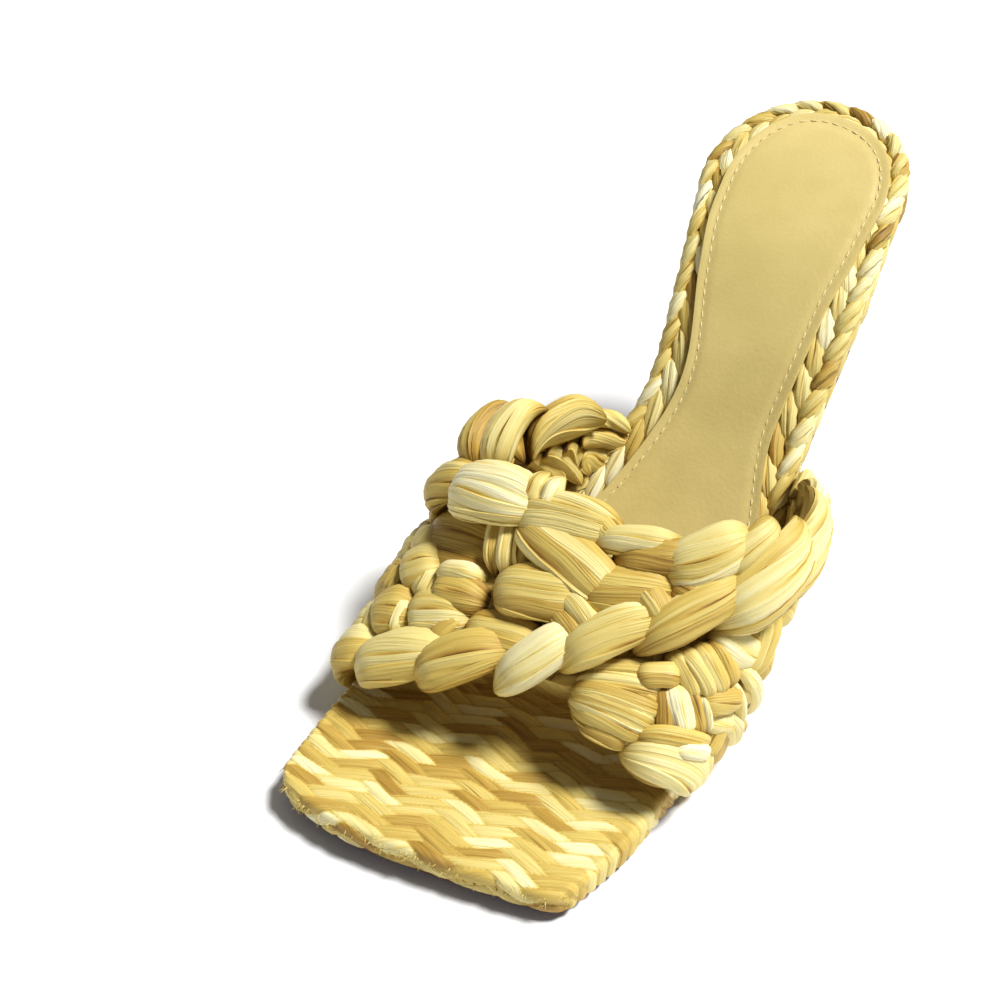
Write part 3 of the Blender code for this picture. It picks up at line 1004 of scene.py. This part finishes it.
def last_place(girth, y):
    """Point on the inside of the upper: up the footbed's side, then over the last."""
    side = side_of(girth)
    centre = (edge(y, -1) + edge(y, 1)) / 2
    half_width = abs(edge(y, side) - centre) + GAP
    top = bed_top(y)
    rise = (1 - abs(girth)) / WRAP
    if rise < 1:
        return Vector((centre + side * half_width, y, between(bed_bottom(y), top, rise)))
    angle = (1 - abs(girth) / (1 - WRAP)) * math.pi / 2
    swell = smooth(LAST, 2 if side < 0 else 3, y)
    out = half_width * max(0.0, math.cos(angle)) ** (2 / LAST_POWER) + swell * math.sin(2 * angle)
    up = (smooth(LAST, 1, y) - top) * math.sin(angle) ** (2 / LAST_POWER)
    return Vector((centre + side * out, y, top + up))


def last_surface(girth, y):
    """Point on the last and its outward normal."""
    around = last_place(min(girth + GIRTH_STEP, 1.0), y) - last_place(max(girth - GIRTH_STEP, -1.0), y)
    heelward = last_place(girth, y + 1) - last_place(girth, y - 1)
    return last_place(girth, y), around.normalized().cross(heelward).normalized()


def basket(across, along):
    """Relief of a basket weave, from 0 in its gaps to 1, its tone with painted shade in the gaps, and the
    place across and along a strip.
    """
    i, j = math.floor(across / WEAVE_WIDTH), math.floor(along / WEAVE_WIDTH)
    u, v = across / WEAVE_WIDTH - i - 0.5, along / WEAVE_WIDTH - j - 0.5
    if (i + j) % 2:
        u, v = v, u
    rise = (1 - abs(2 * u) ** STRIP_SHOULDER) ** 0.5 * math.cos(math.pi * v) ** 0.5
    share = pick("wall", i, j)
    place = u * WEAVE_WIDTH, v * WEAVE_WIDTH + FIBRE_SHIFT * share
    return rise, between(*WALL_SHADED_TONES, share) + WALL_GAP_SHADE * (1 - rise), place


wall_bm = new_sheet(WALL_CELLS)
wall_tone = wall_bm.verts.layers.float.new("tone")
outside = []
weave_places = []
for vert in wall_bm.verts:
    girth, along = vert.co.x, (vert.co.y + 1) / 2
    front = smooth(UPPER_EDGE, 1, girth) + WALL_FRONT_EDGE
    back = smooth(UPPER_EDGE, 2, girth) - WALL_BACK_EDGE
    y = between(front, back, along)
    point, normal = last_surface(girth, y)
    around = girth * WALL_GIRTH
    rise, vert[wall_tone], weave_place = basket(around + y * WEAVE_SLANT, y - around * WEAVE_SLANT)
    vert.co = put(point + normal * (WALL_INSIDE + WEAVE_RISE * (1 - rise)))
    outside.append(put(point + normal * (WALL_OUTSIDE - WEAVE_OUTER_RISE * (1 - rise))))
    weave_places.append(weave_place)
draw_out(wall_bm, outside)
number = wall_bm.verts.layers.int["number"]
map_fibres(wall_bm, lambda vert: weave_places[vert[number]])
wall = make_piece("upper_wall", wall_bm, raffia)
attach(wall, "root")
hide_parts("upper")


# Under band: the wide plait that rises from the outer front of the sole, passes under the other band and ends
# at the inner side of the arch. Its bundles are soft raffia strips, puffed where they pass over one another.
BUNDLE_TUCK = 0.6
BUNDLE_RINGS = 16
FEWEST_STRIPS = 3
STEP_ANGLE = 34.0


def over_last(start, end, lift, height):
    """Route of a bundle between two places on the last, by girth and y, its ends tucked down."""
    def route(t):
        share = (t + 1) / 2
        point, normal = last_surface(between(start[0], end[0], share), between(start[1], end[1], share))
        return point + normal * (lift + height / 2 - BUNDLE_TUCK * height * t ** TUCK_POWER), normal
    return route


def lay_band(name, groups):
    """Lays the bundles of a band, group by group, and keeps the edges of their strips crisp."""
    bm = new_plait()
    count = 0
    for strip_width, fold, blunt, rows in groups:
        for start_girth, start_y, end_girth, end_y, width, height, lift, tone in rows:
            route = over_last((start_girth, start_y), (end_girth, end_y), lift, height)
            strips = max(FEWEST_STRIPS, round((width + height) * math.pi / 2 / strip_width))
            lay_bundle(
                bm, route, width, height, tone, f"{name}/{count}", strips, fold, blunt, BUNDLE_RINGS,
                outward=-1 if lift < -height / 2 else 1)
            count += 1
    band = make_piece(name, bm, raffia)
    band.data.set_sharp_from_angle(angle=math.radians(STEP_ANGLE))
    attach(band, "root")


# Each group has its strip width, the height of its folds and how blunt its bundles end, then for each bundle:
# start girth, y, end girth, y, width, height, lift, tone.
OUTER_FAN = (4.0, 0.9, 3.0, (
    (0.16, 48.5, 0.42, 58, 8, 5.2, 0.2, 0.4),
    (0.15, 46.5, 0.46, 55.5, 8, 5.6, 0.6, 0.34),
    (0.15, 45, 0.49, 52.5, 8, 6, 0.9, 0.36),
    (0.16, 43.5, 0.5, 49, 8, 6.2, 0.9, 0.24),
    (0.18, 42.3, 0.49, 46.2, 7.5, 6, 0.5, 0.36),
    (0.22, 41.3, 0.45, 43.3, 7, 5.2, 0, 0.46),
))
FAN_FOOT = (4.6, 0.8, 3.0, (
    (0.42, 40.2, 0.93, 53.5, 13, 7, 0.2, 0.16),
    (0.43, 44, 0.74, 56.6, 5.4, 5, 2.6, 0.48),
    (0.58, 46.4, 0.74, 54.6, 4.4, 4.6, 3.8, 0.02),
))
OUTER_CHECK = (6.0, 0.3, 4.5, (
    (0.39, 56.2, 0.57, 47.4, 5.4, 4.6, 1.4, 0.5),
    (0.42, 57.4, 0.62, 51, 6.2, 5, 2.2, 0.04),
    (0.46, 59, 0.68, 54.4, 5.6, 4.6, 1.6, 0.48),
    (0.52, 60.4, 0.68, 56, 2.8, 4.6, 2.2, 0.08),
    (0.31, 53.2, 0.44, 60, 6.4, 5.2, 2.4, 0.38),
    (0.34, 62, 0.56, 59, 5.4, 5.4, 1.2, 0.28),
    (0.37, 64.2, 0.59, 61.2, 5.4, 5.8, 1.8, 0.38),
    (0.4, 67, 0.61, 63.8, 5.6, 5.8, 2, 0.34),
    (0.43, 69.4, 0.63, 67.2, 5.4, 5.4, 1.6, 0.42),
    (0.55, 57.4, 0.69, 69.4, 7, 5.4, 2, 0.42),
    (0.62, 56.2, 0.86, 70.5, 6, 5, 1, 0.2),
    (0.43, 69.5, 0.64, 77, 10.5, 6, 0.8, 0.12),
    (0.55, 84, 0.66, 71, 5.8, 5.8, 0.7, 0.36),
    (0.6, 86, 0.71, 73, 5.8, 5.8, 0.7, 0.24),
    (0.64, 69.5, 0.8, 74.5, 10, 5.6, 0.4, 0.36),
    (0.59, 85.5, 0.76, 90.5, 9.5, 5.8, 0.6, 0.34),
    (0.64, 98, 0.74, 85, 6, 5.8, 0.6, 0.28),
    (0.69, 100, 0.79, 87, 6, 5.8, 0.5, 0.42),
))
OUTER_LOOPS = (5.0, 0.4, 3.6, (
    (0.57, 70.6, 0.92, 75.5, 4.8, 4.2, 3.2, 0.14),
    (0.57, 67.2, 0.84, 67.4, 3.6, 3.8, 3, 0.22),
    (0.74, 63, 0.95, 74.5, 3.8, 3.8, 3.2, 0.44),
    (0.66, 70.8, 0.9, 76, 7, 4.6, 1.4, 0.74),
    (0.66, 65, 0.84, 55, 7, 5.4, 0.2, 0.36),
    (0.68, 63, 0.96, 70, 6.5, 6.2, 0.8, 0.2),
    (0.72, 66, 0.98, 62, 9.5, 5, 0, 0.42),
    (0.72, 52, 0.98, 57, 10, 5.2, 0, 0.3),
    (0.75, 77, 0.98, 72, 10, 5.2, 0, 0.26),
    (0.72, 80, 0.92, 84.5, 9.5, 5.6, 0.2, 0.44),
    (0.78, 93, 0.98, 83, 9.5, 5.2, 0, 0.32),
    (0.76, 96, 0.94, 99.5, 9.5, 5.4, 0.2, 0.4),
    (0.82, 107, 0.98, 95.5, 9.5, 5.2, 0, 0.3),
    (0.84, 110, 0.98, 109, 9.5, 5.2, 0, 0.45),
))
ARCH_EDGE = (3.6, 1.1, 2.4, (
    (-0.45, 90.5, -0.77, 114.5, 15.5, 7.6, -5.2, 0.34),
    (-0.43, 84.5, -0.68, 101, 11, 7, -0.6, 0.4),
    (-0.64, 100, -0.88, 116, 12, 7, 0, 0.34),
    (-0.84, 112.5, -1, 124, 11, 6, 0, 0.42),
))
ARCH_INSIDE = (5.0, 0.4, 4.0, (
    (-0.79, 108.5, -0.94, 120.8, 5.8, 5, -4.4, 0.34),
    (-0.76, 112, -0.91, 121.5, 5.2, 5, -4, 0.24),
    (-0.85, 108, -0.98, 118.8, 8, 5, -4.2, 0.4),
    (-0.6, 94.3, -0.85, 103.6, 6, 5, -4.4, 0.42),
    (-0.66, 99, -0.9, 107.4, 6.4, 5, -4.6, 0.36),
    (-0.74, 104.3, -0.9, 110, 6, 5, -4.4, 0.44),
))

# The inner side of the arch is a plain weave of short bundles, laid on the slant: over and under take turns.
ARCH_MIDDLE = (-0.74, 88.0)
ARCH_STEP = (0.085, 5.8)
ARCH_ROWS = 5
ARCH_REACH = 0.78
ARCH_FRONT = 68.0
ARCH_GIRTHS = (-0.99, -0.5)
ARCH_BACK_EDGE = 12.0
ARCH_BUNDLE = (10.4, 6.0, 0.2)
ARCH_TONES = (0.24, 0.48)
arch_bundles = []
for i in range(-ARCH_ROWS, ARCH_ROWS + 1):
    for j in range(-ARCH_ROWS, ARCH_ROWS + 1):
        girth = ARCH_MIDDLE[0] - (i + j) * ARCH_STEP[0]
        y = ARCH_MIDDLE[1] + (i - j) * ARCH_STEP[1]
        reach_girth = ARCH_REACH * ARCH_STEP[0]
        reach_y = ARCH_REACH * ARCH_STEP[1] * (1 if (i + j) % 2 else -1)
        back = smooth(UPPER_EDGE, 2, girth) - ARCH_BACK_EDGE
        if ARCH_GIRTHS[0] < girth < ARCH_GIRTHS[1] and ARCH_FRONT < y < back:
            start = girth + reach_girth, y - reach_y
            end = max(girth - reach_girth, ARCH_GIRTHS[0]), y + reach_y
            shade = between(*ARCH_TONES, pick("arch", i, j))
            arch_bundles.append((*start, *end, *ARCH_BUNDLE, shade))
ARCH_WEAVE = (4.6, 0.7, 3.6, arch_bundles)
lay_band("under_band", (OUTER_FAN, FAN_FOOT, OUTER_CHECK, OUTER_LOOPS, ARCH_EDGE, ARCH_INSIDE, ARCH_WEAVE))


# Over band: the second plait, from the inner front of the sole over the first one to the outer side of the
# arch. Its front edge is a heavy rope of long bundles, and on the inner side a knot ties the bands together.
FRONT_ROPE = (6.0, 0.8, 2.6, (
    (-1, 38, -0.72, 36.5, 12, 6.4, 0, 0.3),
    (-0.84, 33, -0.46, 40.5, 13, 7.6, 0.2, 0.3),
    (-0.56, 30.2, -0.11, 43.4, 14, 8.4, 0.6, 0.34),
    (-0.23, 33.6, 0.01, 48.2, 12.5, 8.8, 1.6, 0.38),
    (-0.005, 38.7, 0.12, 57, 11, 8.4, 3, 0.14),
    (0.11, 47.2, 0.27, 68.7, 11, 8.4, 4.2, 0.24),
    (0.265, 57.1, 0.41, 85, 11, 8.6, 4.4, 0.36),
    (0.42, 71.5, 0.53, 99.5, 14.5, 8.6, 4.2, 0.28),
    (0.5, 82, 0.675, 110.5, 14, 7.6, 3.2, 0.2),
    (0.575, 94, 0.82, 117, 14, 7.2, 2.2, 0.08),
    (0.72, 107, 0.95, 123, 12, 7, 1.6, 0.18),
    (0.84, 115.5, 1, 129, 11.5, 6, 0.4, 0.22),
))
MIDDLE_ROW = (5.0, 0.7, 3.0, (
    (-0.1, 54.5, 0.1, 63, 14, 7.6, 2.8, 0.44),
    (0.01, 61, 0.19, 56, 6.4, 6, 4.2, 0.3),
    (0.02, 57.5, 0.17, 53, 6.2, 5.8, 3.8, 0.42),
    (-0.13, 71.5, 0.16, 64, 13, 7.2, 4.6, 0.34),
    (0.05, 61.5, 0.28, 72.5, 12, 7, 4.2, 0.44),
    (0.16, 69.5, 0.32, 65, 8.5, 6.6, 4.8, 0.4),
    (0.23, 72.5, 0.4, 74.5, 8.5, 6.6, 4.4, 0.44),
))
BACK_ROW = (5.2, 0.8, 2.8, (
    (-0.14, 71.5, 0.07, 78, 13, 7.6, 4.8, 0.26),
    (-0.05, 79, 0.12, 74, 7.5, 6.4, 4, 0.34),
    (0.02, 72.5, 0.21, 81.5, 7.5, 6.8, 5, 0.16),
    (0.08, 70.5, 0.27, 81.5, 9.5, 6.8, 4.6, 0.5),
    (0.2, 72.5, 0.37, 90, 13, 8, 4.6, 0.2),
    (0.34, 79.5, 0.42, 95, 8, 7.6, 4, 0.3),
))
KNOT = (4.0, 1.0, 2.8, (
    (-0.37, 72.8, -0.07, 76, 16.5, 10, 5.4, 0.16),
    (-0.13, 83, -0.1, 73, 5, 6.6, 5.8, 0.34),
    (-0.09, 83, -0.06, 73.5, 5, 6.6, 5.6, 0.2),
    (-0.53, 72, -0.33, 81, 12, 8, 3.8, 0.3),
    (-0.31, 80, -0.45, 99, 13.5, 8, 2.2, 0.16),
    (-0.38, 80, -0.53, 97.5, 9.5, 8, 5, 0.46),
    (-0.27, 84, -0.42, 91, 6, 6, 1, 0.58),
    (-0.48, 78, -0.49, 95, 7.5, 6.8, 1.6, 0.58),
))
INNER_WEAVE = (5.4, 0.6, 3.4, (
    (-0.5, 54, -0.3, 59.5, 12, 6.6, 0.4, 0.32),
    (-0.58, 43.5, -0.33, 48.5, 12.5, 6.6, 0.4, 0.36),
    (-0.31, 55.5, -0.14, 57.8, 6, 6, 1.2, 0.08),
    (-0.31, 52, -0.1, 53.5, 10, 6.4, 0.5, 0.56),
    (-0.37, 45, -0.13, 50.5, 12.5, 6.4, 0.4, 0.26),
    (-0.14, 46, 0.05, 50.5, 11.5, 6.2, 0.6, 0.46),
    (-0.54, 66, -0.14, 66, 13.5, 5.2, -0.3, 0.58),
    (-0.46, 61, -0.12, 61, 10.5, 4.8, -0.3, 0.6),
    (-0.2, 73, -0.13, 59, 5, 6, 1.6, 0.34),
    (-0.16, 73, -0.09, 59, 5, 6.2, 2, 0.26),
    (-0.12, 73, -0.05, 60, 5, 6, 2, 0.36),
    (-0.46, 40, -0.44, 50, 5.4, 5.6, 0.8, 0.44),
    (-0.4, 40.5, -0.38, 50, 5, 5.6, 0.8, 0.26),
    (-0.34, 49, -0.33, 58, 7, 5.6, 0.3, 0.3),
    (-0.46, 59, -0.46, 69, 8.5, 5.6, 0.3, 0.26),
    (-0.22, 41, -0.18, 51, 8.5, 5.6, 0.5, 0.4),
    (-0.55, 49, -0.53, 59, 7.5, 5.6, 0.3, 0.34),
))
INNER_SIDE = (5.0, 0.7, 3.6, (
    (-0.8, 42.5, -0.55, 45.5, 13, 6, 0.2, 0.3),
    (-0.99, 47, -0.73, 50.5, 13, 5.6, 0, 0.4),
    (-0.72, 52.5, -0.49, 56.5, 12.5, 6, 0.2, 0.42),
    (-0.94, 57.5, -0.67, 62.5, 12.5, 5.8, 0, 0.28),
    (-0.72, 63.5, -0.49, 66.5, 12.5, 5.8, 0.2, 0.34),
    (-0.99, 67.5, -0.73, 71, 12.5, 5.6, 0, 0.46),
    (-0.58, 39, -0.57, 51, 7.5, 5.6, 0.2, 0.26),
    (-0.76, 43, -0.74, 55, 7.5, 5.6, 0.2, 0.44),
    (-0.66, 55, -0.64, 67, 7.5, 5.6, 0.2, 0.36),
    (-0.88, 49, -0.86, 61, 7.5, 5.4, 0, 0.32),
    (-0.84, 61, -0.82, 73, 7.5, 5.4, 0, 0.24),
))
lay_band("over_band", (FRONT_ROPE, MIDDLE_ROW, BACK_ROW, KNOT, INNER_WEAVE, INNER_SIDE))


# Stage: a white paper floor, a soft key from above on the outer side, and a pale surround.
FLOOR_SIZE = 6.0
floor_bm = bmesh.new()
bmesh.ops.create_grid(floor_bm, x_segments=1, y_segments=1, size=FLOOR_SIZE / 2)
floor_paper, tree, shader = new_material("white paper")
set_inputs(shader, {"Base Color": hex_colour("#FAFAFA"), "Roughness": 0.9})
floor = make_piece("floor", floor_bm, floor_paper)

# Key: a wide soft light, far off over the outer side, behind the heel.
KEY_DIRECTION = Vector((0.45, 0.3, 0.97))
KEY_STRENGTH = 4.7
KEY_WIDTH = 15.0
key_data = bpy.data.lights.new("key", "SUN")
key_data.energy = KEY_STRENGTH
key_data.angle = math.radians(KEY_WIDTH)
key = add_object("key", key_data)
key.rotation_euler = KEY_DIRECTION.to_track_quat("Z", "Y").to_euler()

# Surround: it lights the shoe faintly, and shows as white as the floor.
SURROUND_LIGHT = 0.16
world = bpy.data.worlds.new("pale surround")
world.use_nodes = True
tree = world.node_tree
faint = tree.nodes["Background"]
white = hex_colour("#FFFFFF")
set_inputs(faint, {"Color": white, "Strength": SURROUND_LIGHT})
shown = add_node(tree, "Background", {"Color": white, "Strength": 1.0})
seen = add_node(tree, "LightPath").outputs["Is Camera Ray"]
surround = add_node(tree, "MixShader", {0: seen, 1: faint, 2: shown})
set_inputs(tree.nodes["World Output"], {"Surface": surround})
bpy.context.scene.world = world

# Colours are shown as they are set, with no film curve over them.
bpy.context.scene.view_settings.view_transform = "Standard"

# Camera: the photograph's place, above the outer side of the toe, looking down towards the heel. Its lens and
# sensor are in millimetres too.
CAMERA_PLACE = Vector((151.8, -173.2, 308.3))
CAMERA_RIGHT = Vector((0.8252, 0.5645, -0.0199))
CAMERA_UP = Vector((-0.3556, 0.5466, 0.7581))
LENS = 58.1
SENSOR_WIDTH = 36.0
NEAREST = 10.0
camera_data = bpy.data.cameras.new("camera")
camera_data.lens = LENS
camera_data.sensor_width = SENSOR_WIDTH
camera_data.clip_start = NEAREST * MM
camera = add_object("camera", camera_data)
camera_back = CAMERA_RIGHT.cross(CAMERA_UP).normalized()
turned = Matrix((CAMERA_RIGHT.normalized(), CAMERA_UP.normalized(), camera_back)).transposed()
camera.matrix_world = Matrix.Translation(put(CAMERA_PLACE)) @ turned.to_4x4()
bpy.context.scene.camera = camera
